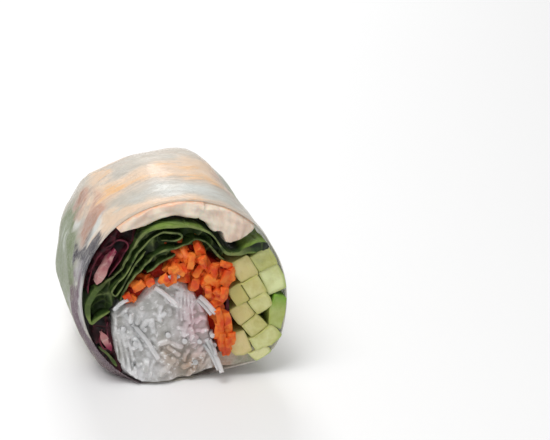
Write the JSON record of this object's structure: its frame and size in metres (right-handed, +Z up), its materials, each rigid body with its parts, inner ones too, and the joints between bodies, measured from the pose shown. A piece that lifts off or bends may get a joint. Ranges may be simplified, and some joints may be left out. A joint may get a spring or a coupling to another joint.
{
  "type": "rice paper roll half",
  "caption": "Half of a shrimp and vegetable rice paper roll, cut across to show its layered filling, lying on its side.",
  "frame": {"origin": "on the surface the roll rests on, under the middle of its bounding box", "axes": "+Z up, -Y out of the cut face, +Y towards the closed end, +X to the right as the cut is seen from in front"},
  "size_m": [0.0502, 0.068, 0.0487],
  "materials": {
    "rice_paper": "moist, milky and translucent, with a soft gloss",
    "shrimp": "cooked, cream white with coral orange bands, moist",
    "lettuce": "fresh dark green leaf with lighter cut edges",
    "radicchio": "dark purple red leaf with pale pink ribs",
    "cucumber": "pale green flesh, wet cut faces",
    "carrot": "raw, bright orange, slightly moist",
    "rice_noodle": "cooked, glassy, translucent white grey"
  },
  "bodies": {
    "root": {"rice_paper": "rice_paper", "shrimp_front_left": "shrimp", "shrimp_front_right": "shrimp", "shrimp_middle": "shrimp", "shrimp_back": "shrimp", "lettuce_1": "lettuce", "lettuce_2": "lettuce", "lettuce_3": "lettuce", "lettuce_4": "lettuce", "lettuce_5": "lettuce", "lettuce_6": "lettuce", "radicchio_1": "radicchio", "radicchio_2": "radicchio", "radicchio_3": "radicchio", "radicchio_4": "radicchio", "cucumber_1": "cucumber", "cucumber_2": "cucumber", "cucumber_3": "cucumber", "cucumber_4": "cucumber", "cucumber_5": "cucumber", "cucumber_6": "cucumber", "cucumber_7": "cucumber", "cucumber_8": "cucumber", "cucumber_9": "cucumber", "cucumber_10": "cucumber", "cucumber_11": "cucumber", "cucumber_12": "cucumber", "carrot_shreds": "carrot", "rice_noodles": "rice_noodle"}
  },
  "joints": []
}
